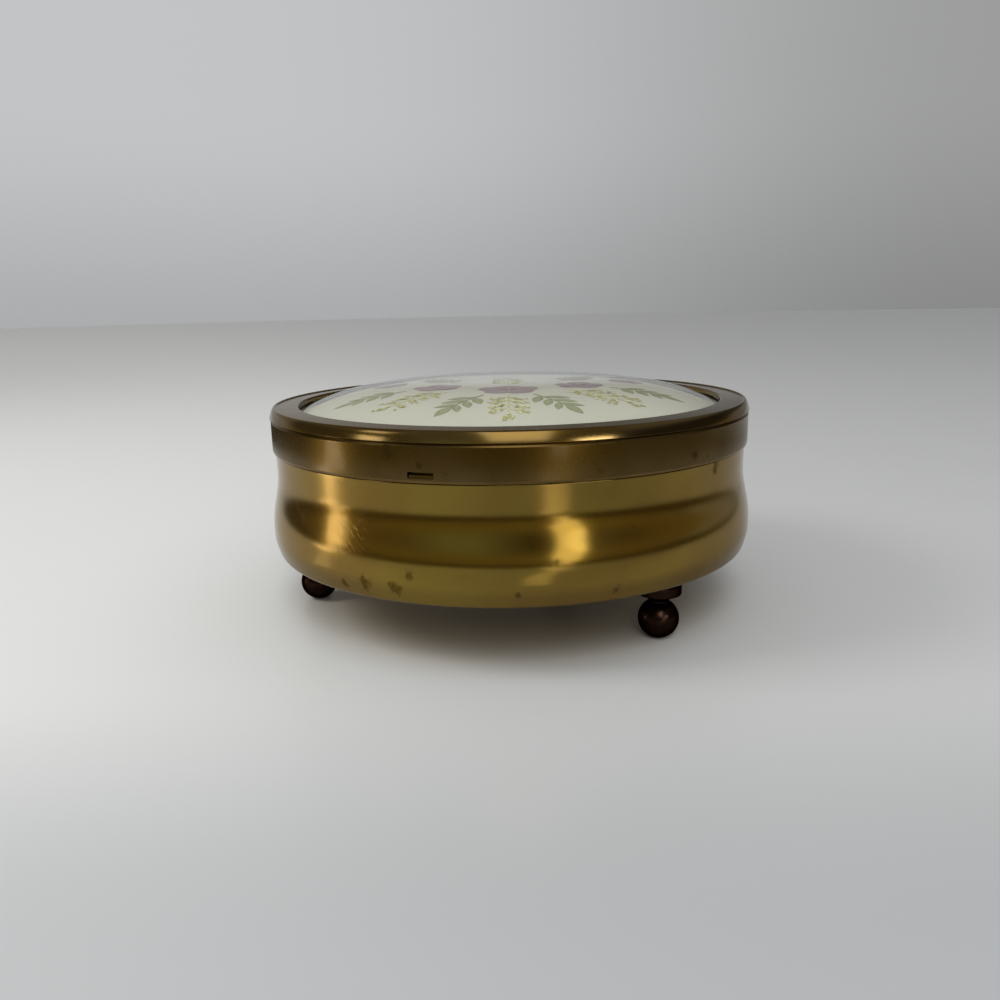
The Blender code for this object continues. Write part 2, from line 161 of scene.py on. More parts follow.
TABLE_RADIUS = 3.6
TABLE_COLOUR = (0.64, 0.655, 0.66, 1.0)
TABLE_LEFT_PAINTED_LIGHT = (0.79, 0.805, 0.80, 1.0)
TABLE_FRONT_PAINTED_SHADE = (0.74, 0.75, 0.77, 1.0)
TABLE_UNDER_PAINTED_SHADOW = (0.62, 0.52, 0.38, 1.0)
PAINTED_SHADOW_ON_TABLE = (0.065, 0.048, 0.026, 1.0)
FAR_TABLE = (0.36, 0.29, 0.16, 1.0)
LEFT_EDGE = (0.03, -0.10)
LEFT_WIDENING = 4.0
FRONT_EDGE = (-0.05, -0.11)
UNDER_EDGE = (0.055, 0.03)
BEHIND_EDGE = (0.35, 0.15)
BEHIND_SLANT = 0.5
NEAR_TABLE_EDGE = (0.205, 0.25)
FAR_TABLE_EDGE = (0.35, 0.9)

deselect()
bpy.ops.mesh.primitive_circle_add(vertices=96, radius=TABLE_RADIUS, fill_type="NGON")
table = bpy.context.object
table.name = "table"
table_paint, place = new_paint("Table")
across, forward = axis_of(place, "X"), axis_of(place, "Y")
distance = place.node("VectorMath", {0: place}, output=1, operation="LENGTH")
sideways = across / (distance * distance * LEFT_WIDENING + 1.0)
# Painted light and shade in the table's colour: lighter to the left, as if lit by the key lamp,
# darker in front, and a brown painted shadow and reflection of the box under it.
top_colour = mixed(step_between(sideways, *LEFT_EDGE), TABLE_COLOUR, TABLE_LEFT_PAINTED_LIGHT)
top_colour = mixed(step_between(forward, *FRONT_EDGE), top_colour, TABLE_FRONT_PAINTED_SHADE, "MULTIPLY")
top_colour = mixed(step_between(distance, *UNDER_EDGE), top_colour, TABLE_UNDER_PAINTED_SHADOW, "MULTIPLY")
mottle = noise(place, 30.0, 4.0)
top = place.node(
    "BsdfPrincipled",
    {"Base Color": top_colour, "Roughness": 0.30 + mottle * 0.10, "Specular IOR Level": 0.5},
)

# Mirrored in the brass, the table beyond a short way in front is painted dark, a painted shadow
# as of whoever stands before it, and painted less dark farther off.
in_front = step_between(forward + across * BEHIND_SLANT, *BEHIND_EDGE)
mirrored = mixed(step_between(distance, *FAR_TABLE_EDGE), PAINTED_SHADOW_ON_TABLE, FAR_TABLE)
mirrored = mixed(step_between(distance, *NEAR_TABLE_EDGE) * in_front, top_colour, mirrored)
mirrored = place.node("BsdfDiffuse", {"Color": mirrored})
gloss_ray = place.node("LightPath", {}, output="Is Glossy Ray")
surface = place.node("MixShader", {0: gloss_ray, 1: top, 2: mirrored})
place.node("OutputMaterial", {"Surface": surface})
table.data.materials.append(table_paint)

WALL_LOW = (0.40, 0.41, 0.415, 1.0)
WALL_HIGH = (0.54, 0.55, 0.56, 1.0)
WALL_SHADE = (0.62, 0.61, 0.60, 1.0)
FILL_LIGHT = (0.57, 0.57, 0.57, 1.0)
CEILING = (0.22, 0.215, 0.20, 1.0)
BACK_LEFT = (0.36, 0.34, 0.31, 1.0)
BACK_RIGHT = (0.08, 0.075, 0.07, 1.0)
ROOM_LOW = (0.32, 0.26, 0.12, 1.0)
ROOM_LEFT = (0.12, 0.11, 0.08, 1.0)
ROOM_RIGHT = (0.04, 0.035, 0.03, 1.0)
DOORWAY = (0.33, 0.38, 0.32, 1.0)
DOORWAY_HEADING = (-0.400, -0.910, 0.105)
DOORWAY_EDGE = (0.62, 0.05)
SIDE_EDGE = (-0.5, 0.5)
CORNER_EDGE = (0.62, 0.42)
WALL_EDGE = (-0.05, 0.20)
BACK_EDGE = (0.08, 0.20)
ROOM_EDGE = (0.06, 0.14)
CEILING_EDGE = (0.3, 0.6)

studio = bpy.data.worlds.new("Studio")
bpy.context.scene.world = studio
look = begin(studio, "Generated")
height = axis_of(look, "Z")
rightward = step_between(axis_of(look, "X"), *SIDE_EDGE)
wall = mixed(step_between(height, *WALL_EDGE), WALL_LOW, WALL_HIGH)
wall = mixed(rightward, wall, mixed(rightward, wall, WALL_SHADE, "MULTIPLY"))
back = mixed(rightward, BACK_LEFT, BACK_RIGHT)
back = mixed(step_between(height, *BACK_EDGE), wall, back)
off_doorway = look.node("VectorMath", {0: look, 1: DOORWAY_HEADING}, output=1, operation="DISTANCE")
room = mixed(rightward, ROOM_LEFT, ROOM_RIGHT)
room = mixed(step_between(off_doorway, *DOORWAY_EDGE), room, DOORWAY)
room = mixed(step_between(height, *ROOM_EDGE), ROOM_LOW, room)
room = mixed(step_between(axis_of(look, "Y"), *CORNER_EDGE), back, room)
room = mixed(step_between(height, *CEILING_EDGE), room, CEILING)
camera_ray = look.node("LightPath", {}, output="Is Camera Ray")
gloss_ray = look.node("LightPath", {}, output="Is Glossy Ray")
seen = mixed(camera_ray, mixed(gloss_ray, FILL_LIGHT, room), wall)
glow = look.node("Background", {"Color": seen, "Strength": 1.0})
look.node("OutputWorld", {"Surface": glow})


BOX_MIDDLE = (0.0, 0.0, 0.025)
off_table = bpy.data.collections.new("All but the table")
off_table.objects.link(table)
off_table.collection_objects[0].light_linking.link_state = "EXCLUDE"


def add_lamp(name, place, size, power, colour, rays, heading=None, lean=0.0):
    """A soft lamp, hidden from the camera, for matt rays, or for gloss rays off all but the table.
    It faces the middle of the box and leans to a side, or lies on the table along a heading, as
    glare on it."""
    facing = (Vector(BOX_MIDDLE) - Vector(place)).to_track_quat("-Z", "Y").to_matrix()
    facing = facing @ Matrix.Rotation(radians(lean), 3, "Z")
    if heading is not None:
        facing = Matrix.Rotation(radians(heading), 3, "Z") @ Matrix.Rotation(pi, 3, "X")
    deselect()
    bpy.ops.object.light_add(type="AREA", location=place, rotation=facing.to_euler())
    lamp = bpy.context.object
    lamp.name = name
    lamp.data.shape = "RECTANGLE"
    lamp.data.size, lamp.data.size_y = size
    lamp.data.energy = power
    lamp.data.color = colour
    lamp.visible_camera = False
    lamp.visible_diffuse = rays != "gloss"
    lamp.visible_glossy = rays != "matt"
    if rays == "gloss":
        lamp.light_linking.receiver_collection = off_table


WARM = (1.0, 0.93, 0.80)
NEUTRAL = (1.0, 0.98, 0.95)
COOL = (0.82, 0.84, 1.0)
GLARE_HEIGHT = 0.0005
# Each patch of glare: its place across and forward, its length, width, heading and power.
GLARE = (
    (-0.115, -0.034, 0.070, 0.014, 185, 0.0022),
    (-0.182, -0.029, 0.054, 0.028, 151, 0.019),
    (-0.400, -0.059, 0.400, 0.045, 182, 0.19),
    (0.022, -0.115, 0.050, 0.014, -62, 0.0015),
    (0.049, -0.172, 0.055, 0.026, -90, 0.0067),
    (0.174, -0.430, 0.370, 0.040, -64, 0.116),
    (0.280, -0.780, 0.340, 0.070, -78, 0.21),
)
add_lamp("key_lamp", (-0.495, -0.07, 0.42), (0.24, 0.24), 1.25, NEUTRAL, "matt")
add_lamp("front_panel", (0.04, -1.0, 0.96), (0.50, 1.0), 7.0, NEUTRAL, "matt")
add_lamp("front_window", (0.07, -0.95, 0.90), (0.60, 1.0), 5.4, COOL, "gloss")
add_lamp("left_window", (-0.627, -0.085, 0.035), (0.12, 0.08), 0.14, WARM, "gloss")
add_lamp("right_window", (0.257, -0.596, 0.045), (0.14, 0.08), 0.10, WARM, "gloss", lean=-27)
add_lamp("right_fanlight", (0.286, -0.583, 0.112), (0.14, 0.055), 0.115, WARM, "gloss", lean=-27)
add_lamp("left_lantern", (-0.549, -0.280, 0.21), (0.14, 0.07), 0.15, COOL, "gloss")
add_lamp("high_lantern", (-0.547, -0.244, 0.41), (0.16, 0.12), 0.17, COOL, "gloss")
add_lamp("right_lantern", (0.379, -0.503, 0.22), (0.17, 0.05), 0.42, COOL, "gloss")
for number, (across, forward, length, width, heading, power) in enumerate(GLARE):
    place = (across, forward, GLARE_HEIGHT)
    add_lamp(f"glare_{number}", place, (length, width), power, WARM, "gloss", heading)


# Bowl. The lower half is drawn from one sheet of brass: a collar that the lid slips over, a
# shoulder that it rests on, a waisted neck and a low belly, turned under to a flat floor. It is
# lacquered, and age has browned it in patches and marked it with fine crossed scratches.
SPIN_STEPS = 256
MERGE_DISTANCE = 0.000002
FILLET_SHARE = 0.49
BOWL_SHEET = 0.0006
NECK_INSET = 0.0006
NECK_HEIGHT = 0.0045
NECK_FLARE = 0.0001
NECK_STEPS = 8
BELLY_SWELL = 0.00154
SWELL_STEPS = 24
BELLY_TO_NECK = 0.0109
FLOOR_TO_BELLY = 0.0071
BELLY_FILLET = 0.017
BELLY_BEND = 0.0048
CORNER_INSET = 0.00092
CORNER_RISE = 0.00155
CORNER_FILLET = 0.0013
FLOOR_INSET = 0.00504
FLOOR_FILLET = 0.0025
LID_RADIUS = 0.0500
COLLAR_RADIUS = 0.04885


def rounded(corners, steps=8):
    """Profile points from corners of (radius, height, fillet), each fillet turned into an arc."""
    points = []
    for index, (radius, height, fillet) in enumerate(corners):
        corner = Vector((radius, height))
        if not fillet:
            points.append(corner)
            continue
        before = Vector(corners[index - 1][:2]) - corner
        after = Vector(corners[index + 1][:2]) - corner
        half_angle = before.angle(after) / 2
        reach = min(fillet / tan(half_angle), min(before.length, after.length) * FILLET_SHARE)
        inward = (before.normalized() + after.normalized()).normalized()
        centre = corner + inward * reach / cos(half_angle)
        first = corner + before.normalized() * reach - centre
        last = corner + after.normalized() * reach - centre
        for step in range(steps + 1):
            points.append(centre + first.lerp(last, step / steps).normalized() * first.length)
    return points


def spin_up(name, profile, steps=SPIN_STEPS, centre=(0.0, 0.0, 0.0)):
    """Metal spinning: a profile drawn point by point, then turned round an upright axis."""
    deselect()
    start = Vector((centre[0] + profile[0][0], centre[1], centre[2] + profile[0][1]))
    bpy.ops.mesh.primitive_plane_add(size=0.0001, location=start)
    bpy.ops.object.transform_apply(location=True)
    piece = bpy.context.object
    piece.name = name
    bpy.ops.object.mode_set(mode="EDIT")
    bpy.ops.mesh.merge(type="CENTER")
    for here, there in zip(profile, profile[1:]):
        move = (there[0] - here[0], 0.0, there[1] - here[1])
        bpy.ops.mesh.extrude_vertices_move(TRANSFORM_OT_translate={"value": move})
    bpy.ops.mesh.select_all(action="SELECT")
    bpy.ops.mesh.spin(steps=steps, angle=2 * pi, center=centre, axis=(0.0, 0.0, 1.0))
    bpy.ops.mesh.select_all(action="SELECT")
    bpy.ops.mesh.remove_doubles(threshold=MERGE_DISTANCE)
    bpy.ops.mesh.normals_make_consistent(inside=False)
    bpy.ops.object.mode_set(mode="OBJECT")
    return piece


def apply_modifier(piece, kind, **settings):
    """Adds a modifier to the active piece and applies it."""
    modifier = piece.modifiers.new(kind.title(), kind)
    for name, value in settings.items():
        setattr(modifier, name, value)
    bpy.ops.object.modifier_apply(modifier=modifier.name)


def finish_piece(piece, material, body, replaced, sharp=35):
    """Gives a piece its material, smooth shading and body, and hides the nodes that it stands for.
    """
    piece.data.name = piece.name
    piece.data.materials.clear()
    piece.data.materials.append(material)
    bpy.ops.object.shade_smooth_by_angle(angle=radians(sharp))
    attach(piece, body)
    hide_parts(*replaced)


def stretched(place, grain, degrees=0.0):
    """Coordinates in which a noise of scale 1 has grain of this size, in metres, turned about Z."""
    turn = (0.0, 0.0, radians(degrees))
    sockets = {"Vector": place, "Rotation": turn, "Scale": grain}
    return place.node("Mapping", sockets, vector_type="TEXTURE")


def near(place, centre, reach, ragged):
    """1 close to a point and 0 from a distance on, with a ragged edge."""
    gap = place.node("VectorMath", {0: place, 1: centre}, output=1, operation="DISTANCE")
    return step_between(gap + (ragged - 0.5) * reach * 2.0, reach, reach * 0.3)


def unrolled(place, radius):
    """The wall of a round box laid flat: x runs round it from its front, and y is the height."""
    away = {0: axis_of(place, "X"), 1: axis_of(place, "Y") * -1}
    round_wall = place.node("Math", away, operation="ARCTAN2") * radius
    return place.node("CombineXYZ", {"X": round_wall, "Y": axis_of(place, "Z")})


def scratches_along(flat, degrees, length=0.007, width=0.00013):
    """Fine scratches, all along one direction, broken up by a softer pattern."""
    lines = noise(stretched(flat, (length, width, 1.0), degrees), 1.0, 1.0)
    broken = step_between(noise(flat, 90.0, 2.0), 0.45, 0.60)
    return step_between(lines, 0.58, 0.70) * broken


BROWNED = (0.195, 0.110, 0.016, 1.0)
STREAKED = (0.20, 0.14, 0.024, 1.0)
DULLED = (0.075, 0.043, 0.006, 1.0)
SCRATCHED = (0.34, 0.25, 0.09, 1.0)
SPOT_AND_SHADE_DARK = (0.030, 0.018, 0.008, 1.0)
STREAK_GRAIN = (0.07, 0.07, 0.0014)
WIPING_GRAIN = (0.009, 0.00035, 1.0)
WIPING_HEADING = -56.0
SCRATCH_HEADING = -42.0
CROSSING_HEADING = 34.0


def aged_brass(name, metal, browning, rubbed, spots, dulling, grime_and_shade):
    """Lacquered brass gone brown in patches, with polishing lines, dark spots and scratches, most
    of them at a rubbed place. It is duller by an amount, from one height down to another, and a
    groove between two heights is darkened by dirt and by painted shade."""
    material, place = new_paint(name)
    flat = unrolled(place, LID_RADIUS)
    patches = step_between(noise(place, 38.0, 3.0, 0.6), 0.36, 0.66)
    streaks = noise(stretched(place, STREAK_GRAIN), 1.0, 3.0, 0.6)
    wiping = noise(stretched(flat, WIPING_GRAIN, WIPING_HEADING), 1.0, 2.0)
    waves = noise(place, 110.0, 2.0)
    wobble = noise(place, 1500.0, 3.0, 0.6)
    ragged = noise(place, 900.0, 3.0, 0.6)
    crossing = scratches_along(flat, CROSSING_HEADING) * 0.3
    scratches = scratches_along(flat, SCRATCH_HEADING) + crossing
    scratches = scratches * (0.2 + near(place, *rubbed[:2], ragged) * rubbed[2])
    marks_and_shade = step_between(noise(place, 300.0, 3.0, 0.6), 0.71, 0.80)
    for centre, reach in spots:
        marks_and_shade = marks_and_shade + near(place, centre, reach, ragged) * (0.35 + wobble * 0.7)
    height = axis_of(place, "Z") + (waves - 0.5) * 0.0003
    # A groove between these heights is darkened by dirt and by painted shade.
    low, high = grime_and_shade
    edge = (high - low) / 4
    dirt_and_shade = step_between(height, low, low + edge) * step_between(height, high, high - edge)
    marks_and_shade = marks_and_shade + dirt_and_shade * 0.6
    dull = step_between(height, *dulling[1:]) * dulling[0]
    brass = mixed(patches, metal, BROWNED)
    brass = mixed(streaks * 0.4, brass, STREAKED)
    brass = mixed((browning + dull) * (0.7 + patches * 0.3), brass, DULLED)
    brass = mixed(scratches * 0.06, brass, SCRATCHED)
    brass = mixed(marks_and_shade * 0.75, brass, SPOT_AND_SHADE_DARK)
    roughness = 0.13 + patches * 0.03 + wiping * 0.03 + scratches * 0.05
    worn = waves * 1.5 + wiping * 0.15 + wobble * 0.06 - scratches * 0.35 + marks_and_shade * 0.3
    end_paint(
        place,
        {
            "Base Color": brass,
            "Metallic": 1.0,
            "Roughness": roughness + marks_and_shade * 0.12 + dull * 0.18,
            "Specular Tint": (0.70, 0.66, 0.60, 1.0),
            "Coat Weight": step_between(marks_and_shade, 0.8, 0.1) * 0.3,
            "Coat Roughness": 0.12,
            "Normal": relief(place, worn, 0.3, 0.00002),
        },
    )
    return material


bowl_low, bowl_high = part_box("bowl_shell")
floor_height = bowl_low.z
belly_height = floor_height + FLOOR_TO_BELLY
neck_height = belly_height + BELLY_TO_NECK
shoulder_height = neck_height + NECK_HEIGHT
neck_radius = LID_RADIUS - NECK_INSET
belly_radius = neck_radius + BELLY_SWELL

neck = []
for step in range(1, NECK_STEPS + 1):
    share = 1 - step / NECK_STEPS
    radius = neck_radius + NECK_FLARE * share**2
    neck.append(Vector((radius, neck_height + NECK_HEIGHT * share)))
collar = [
    (COLLAR_RADIUS, bowl_high.z, 0),
    (COLLAR_RADIUS, shoulder_height, BOWL_SHEET / 3),
    (neck_radius + NECK_FLARE, shoulder_height, BOWL_SHEET / 3),
    (neck[0].x, neck[0].y, 0),
]
swell = []
for step in range(1, SWELL_STEPS + 1):
    share = step / SWELL_STEPS
    radius = neck_radius + BELLY_SWELL * (0.5 - 0.5 * cos(pi * share))
    swell.append(Vector((radius, neck_height - BELLY_TO_NECK * share)))
underside = [
    (belly_radius, belly_height, 0),
    (belly_radius, floor_height + BELLY_BEND, BELLY_FILLET),
    (belly_radius - CORNER_INSET, floor_height + CORNER_RISE, CORNER_FILLET),
    (belly_radius - FLOOR_INSET, floor_height, FLOOR_FILLET),
    (0.0, floor_height, 0),
]
BOWL_SPOTS = (
    ((-0.0172, -0.0479, 0.0180), 0.0013),
    ((-0.0294, -0.0411, 0.0145), 0.0012),
    ((-0.0254, -0.0440, 0.0154), 0.0017),
    ((-0.0198, -0.0467, 0.0153), 0.0017),
    ((0.0010, -0.0507, 0.0151), 0.0008),
    ((0.0177, -0.0474, 0.0147), 0.0011),
    ((0.0075, -0.0502, 0.0204), 0.0008),
    ((0.0371, -0.0326, 0.0324), 0.0015),
)
BOWL_RUBBED = ((-0.0330, -0.0385, 0.0270), 0.014, 3.5)
BOWL_METAL = (0.225, 0.147, 0.018, 1.0)
bowl_dulling = (0.5, belly_height - 0.001, floor_height + 0.003)
# Dirt and painted shade where the collar rises from the shoulder.
bowl_grime_and_shade = (shoulder_height - 0.0001, shoulder_height + 0.0028)
bowl_brass = aged_brass(
    "Brass bowl", BOWL_METAL, 0.0, BOWL_RUBBED, BOWL_SPOTS, bowl_dulling, bowl_grime_and_shade
)
bowl = spin_up("bowl", rounded(collar) + neck[1:] + swell + rounded(underside, 12)[1:])
apply_modifier(bowl, "SOLIDIFY", thickness=BOWL_SHEET, offset=-1.0, use_even_offset=True)
finish_piece(bowl, bowl_brass, "box", ("bowl_shell",))


# Ball feet. Three small castings, each a ball with a worn flat, a waist and a flared neck under a
# round flange, chemically browned almost to black and rubbed a little on the ball.
FOOT_INSET = 0.00324
BALL_RADIUS = 0.00387
WORN_RADIUS = 0.0010
WAIST_RADIUS = 0.00195
FLARE_HEIGHT = 0.0016
FLANGE_RADIUS = 0.0042
FLANGE_THICKNESS = 0.0020
FLANGE_TOP_FILLET = 0.0002
FLANGE_FILLET = 0.0003
FLANGE_STEP = 0.0006
FLANGE_STEP_HEIGHT = 0.0001
FOOT_TURN = 40.2
FLARE_STEPS = 12
BALL_STEPS = 32
FOOT_SPIN_STEPS = 96
PATINA_DARK = (0.010, 0.005, 0.003, 1.0)
PATINA_BROWN = (0.026, 0.013, 0.008, 1.0)
PATINA_RUBBED = (0.10, 0.060, 0.035, 1.0)
PATINA_PIT = (0.012, 0.008, 0.006, 1.0)
FEET = ("foot_front_right", "foot_rear", "foot_left")

foot_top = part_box(FEET[0])[1].z
ball_centre = sqrt(BALL_RADIUS**2 - WORN_RADIUS**2)
flange_base = foot_top - FLANGE_THICKNESS
foot_profile = rounded(
    [
        (0.0, foot_top, 0),
        (FLANGE_RADIUS, foot_top, FLANGE_TOP_FILLET),
        (FLANGE_RADIUS, flange_base, FLANGE_FILLET),
        (FLANGE_RADIUS - FLANGE_STEP, flange_base - FLANGE_STEP_HEIGHT, 0),
    ],
    4,
)
for step in range(2, FLARE_STEPS + 1):
    angle = pi / 2 * step / FLARE_STEPS
    radius = FLANGE_RADIUS - (FLANGE_RADIUS - WAIST_RADIUS) * sin(angle)
    foot_profile.append(Vector((radius, flange_base - FLARE_HEIGHT * (1 - cos(angle)))))
ball_start = acos(WAIST_RADIUS / BALL_RADIUS)
ball_end = -acos(WORN_RADIUS / BALL_RADIUS)
for step in range(1, BALL_STEPS + 1):
    angle = ball_start + (ball_end - ball_start) * step / BALL_STEPS
    foot_profile.append(Vector((BALL_RADIUS * cos(angle), ball_centre + BALL_RADIUS * sin(angle))))
foot_profile.append(Vector((0.0, 0.0)))

patina, place = new_paint("Dark patina")
mottle = noise(place, 700.0, 5.0, 0.6)
rubbed = step_between(noise(place, 380.0, 3.0), 0.58, 0.74)
pits = step_between(noise(place, 2600.0, 3.0, 0.6), 0.66, 0.76)
cast = mixed(mottle, PATINA_DARK, PATINA_BROWN)
cast = mixed(rubbed * 0.3, cast, PATINA_RUBBED)
end_paint(
    place,
    {
        "Base Color": mixed(pits * 0.6, cast, PATINA_PIT),
        "Metallic": 1.0,
        "Specular Tint": (0.35, 0.28, 0.24, 1.0),
        "Roughness": 0.20 + mottle * 0.12 + pits * 0.2 - rubbed * 0.05,
        "Normal": relief(place, mottle * 0.6 - pits, 0.5, 0.00004),
    },
)

foot_circle = belly_radius - FLOOR_INSET - FOOT_INSET
for number, node in enumerate(FEET):
    angle = radians(FOOT_TURN + number * 360 / len(FEET))
    centre = (foot_circle * sin(angle), -foot_circle * cos(angle), 0.0)
    foot = spin_up("ball_" + node, foot_profile, FOOT_SPIN_STEPS, centre)
    finish_piece(foot, patina, "box", (node,))


# Foot screws and card. Slotted steel screws come down through the bowl's floor into the feet, and
# a disc of grey card with holes over their heads lies on the floor under the velvet.
STEEL_BRIGHT = (0.50, 0.48, 0.45, 1.0)
STEEL_DULL = (0.38, 0.36, 0.33, 1.0)
CARD_DARK = (0.36, 0.33, 0.28, 1.0)
CARD_PALE = (0.48, 0.44, 0.38, 1.0)

screw_steel, place = new_paint("Screw steel")
turned_lines = noise(stretched(place, (0.0025, 0.0025, 0.00025)), 1.0, 3.0)
end_paint(
    place,
    {
        "Base Color": mixed(turned_lines, STEEL_BRIGHT, STEEL_DULL),
        "Metallic": 1.0,
        "Roughness": 0.3 + turned_lines * 0.2,
    },
)

grey_card, place = new_paint("Grey card")
fibres = noise(stretched(place, (0.0007, 0.002, 0.002)), 1.0, 5.0, 0.7)
end_paint(
    place,
    {
        "Base Color": mixed(fibres, CARD_DARK, CARD_PALE),
        "Roughness": 0.85,
        "Normal": relief(place, fibres, 0.4, 0.0001),
    },
)

for node in FEET:
    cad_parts[node.replace("foot", "foot_screw")].data.materials[0] = screw_steel
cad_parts["base_board"].data.materials[0] = grey_card


# Velvet in the bowl. A round pad of wine-red velvet, glued over the card and turned under at its
# edge, so that trinkets lie on something soft.
VELVET_STEPS = 192
PAD_SHOULDER = 0.0024
PAD_SAG = 0.0001
PAD_DROP = 0.0003
VELVET_DARK = (0.115, 0.012, 0.022, 1.0)
VELVET_BRUSHED = (0.20, 0.03, 0.045, 1.0)
VELVET_DEEP = (0.05, 0.004, 0.010, 1.0)

# Short pile: a dense nap, brushed flat in places, with sheen from its fibre ends.
wine_velvet, place = new_paint("Wine velvet")
nap = noise(place, 5200.0, 3.0, 0.7)
brushed = noise(place, 90.0, 3.0, 0.55)
pile = mixed(brushed, VELVET_DARK, VELVET_BRUSHED)
end_paint(
    place,
    {
        "Base Color": mixed(nap * 0.6, pile, VELVET_DEEP),
        "Roughness": 0.92,
        "Sheen Weight": 0.5,
        "Sheen Roughness": 0.4,
        "Sheen Tint": (0.9, 0.45, 0.5, 1.0),
        "Normal": relief(place, nap + brushed * 0.6, 0.7, 0.00015),
    },
)

pad_low, pad_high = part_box("base_velvet")
pad_edge = (pad_high.z - pad_low.z) / 3
pad_profile = rounded(
    [
        (0.0, pad_high.z, 0),
        (pad_high.x - PAD_SHOULDER, pad_high.z - PAD_SAG, 0),
        (pad_high.x, pad_high.z - PAD_DROP, pad_edge),
        (pad_high.x, pad_low.z, pad_edge),
        (0.0, pad_low.z, 0),
    ]
)
pad = spin_up("velvet_pad", pad_profile, VELVET_STEPS)
finish_piece(pad, wine_velvet, "box", ("base_velvet",))


# Lid ring. One sheet of brass, drawn and spun: a lip turned down on the cover, a sloping rim, a
# rolled bead, a groove and a skirt that slips over the collar. Three slits are lanced in the skirt,
# and the strip under each is pushed in to grip the collar. It is browner than the bowl.
LID_SHEET = 0.0005
SKIRT_HEIGHT = 0.00645
EDGE_TURN = 0.00012
EDGE_TURN_HEIGHT = 0.0004
EDGE_FILLET = 0.0003
GROOVE_FILLET = 0.0001
GROOVE_DEPTH = 0.0003
GROOVE_SLOPE = 0.0004
BEAD_RADIUS = 0.0010
BEAD_PROUD = 0.00015
BEAD_WIDEST = 0.0003
BEAD_TALL = 0.00228
BEAD_CROWN = 2.0
BEAD_END = radians(105)
BEAD_STEPS = 28
VALLEY_DEPTH = 0.00012
VALLEY_FILLET = 0.00015
RIM_WIDTH = 0.00578
RIM_FILLET = 0.0004
LANCE_TURN = -17.0
LANCE_COUNT = 3
LANCE_WIDTH = 0.0046
LANCE_FOOT = 0.00075
LANCE_TAB = 0.0006
LANCE_SLOT = 0.0005
WINDOW_EDGE = 0.00012
STRIP_EDGE = 0.0001
STRIP_SHARE = 0.9
SEAT_GAP = 0.0003
COVER_RISE = 0.0053

lid_low, lid_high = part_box("lid_shell")
cover_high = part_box("clear_cover")[1]
skirt_foot = lid_low.z
bead_centre = LID_RADIUS + BEAD_PROUD - BEAD_RADIUS
bead_start = -acos((LID_RADIUS - GROOVE_DEPTH - bead_centre) / BEAD_RADIUS)


def bead_point(angle):
    """A point of the bead's outline. It is widest near its foot, as a bead is that was rolled over
    a groove."""
    reach = BEAD_TALL - BEAD_WIDEST if angle > 0 else -BEAD_WIDEST
    height = skirt_foot + SKIRT_HEIGHT + BEAD_WIDEST + reach * abs(sin(angle)) ** BEAD_CROWN
    return Vector((bead_centre + BEAD_RADIUS * cos(angle), height))


bead_top = bead_point(BEAD_END)
valley_radius = bead_top.x - VALLEY_DEPTH
valley_height = bead_top.y - VALLEY_DEPTH
lip_radius = LID_RADIUS - RIM_WIDTH
cover_rim = cover_high.z - COVER_RISE

rim = [
    (lip_radius, cover_rim + SEAT_GAP, 0),
    (lip_radius, lid_high.z, RIM_FILLET),
    (valley_radius, valley_height, VALLEY_FILLET),
    (bead_top.x, bead_top.y, 0),
]
bead = []
for step in range(1, BEAD_STEPS + 1):
    bead.append(bead_point(BEAD_END + (bead_start - BEAD_END) * step / BEAD_STEPS))
skirt = [
    (bead[-1].x, bead[-1].y, 0),
    (LID_RADIUS, skirt_foot + SKIRT_HEIGHT - GROOVE_SLOPE, GROOVE_FILLET),
    (LID_RADIUS, skirt_foot + EDGE_TURN_HEIGHT, EDGE_FILLET),
    (LID_RADIUS - EDGE_TURN, skirt_foot, 0),
]
LID_SPOTS = (
    ((-0.0201, -0.0458, 0.0386), 0.0016),
    ((0.0321, -0.0383, 0.0357), 0.0012),
    ((0.0350, -0.0357, 0.0349), 0.0005),
    ((-0.0146, -0.0478, 0.0365), 0.0008),
    ((0.0147, -0.0478, 0.0353), 0.0007),
    ((-0.0176, -0.0470, 0.0408), 0.0005),
)
LID_RUBBED = ((-0.0300, -0.0400, 0.0360), 0.010, 0.8)
LID_METAL = (0.245, 0.162, 0.065, 1.0)
groove_height = skirt_foot + SKIRT_HEIGHT
lid_dulling = (0.6, groove_height, groove_height - GROOVE_SLOPE * 2)
# Dirt and painted shade in the groove under the bead.
groove_grime_and_shade = (groove_height - GROOVE_SLOPE - 0.00012, groove_height + 0.0002)
lid_brass = aged_brass(
    "Brass lid", LID_METAL, 0.3, LID_RUBBED, LID_SPOTS, lid_dulling, groove_grime_and_shade
)
lid = spin_up("lid_ring", rounded(rim) + bead + rounded(skirt)[1:])
apply_modifier(lid, "SOLIDIFY", thickness=LID_SHEET, offset=-1.0, use_even_offset=True)


def rounded_bar(name, size, edge, place, degrees):
    """A small bar with rounded edges, turned to face away from the box's axis."""
    deselect()
    bpy.ops.mesh.primitive_cube_add(size=1.0)
    bar = bpy.context.object
    bar.name = name
    bar.scale = size
    bpy.ops.object.transform_apply(scale=True)
    apply_modifier(bar, "BEVEL", width=edge, segments=3, limit_method="NONE")
    bar.rotation_euler = (0.0, 0.0, radians(degrees))
    bar.location = place
    bpy.ops.object.transform_apply(location=True, rotation=True)
    return bar


def join_to(piece, other, operation):
    """Cuts one piece by another, or unites them, and removes the other."""
    deselect()
    bpy.context.view_layer.objects.active = piece
    piece.select_set(True)
    apply_modifier(piece, "BOOLEAN", operation=operation, object=other)
    bpy.data.objects.remove(other)


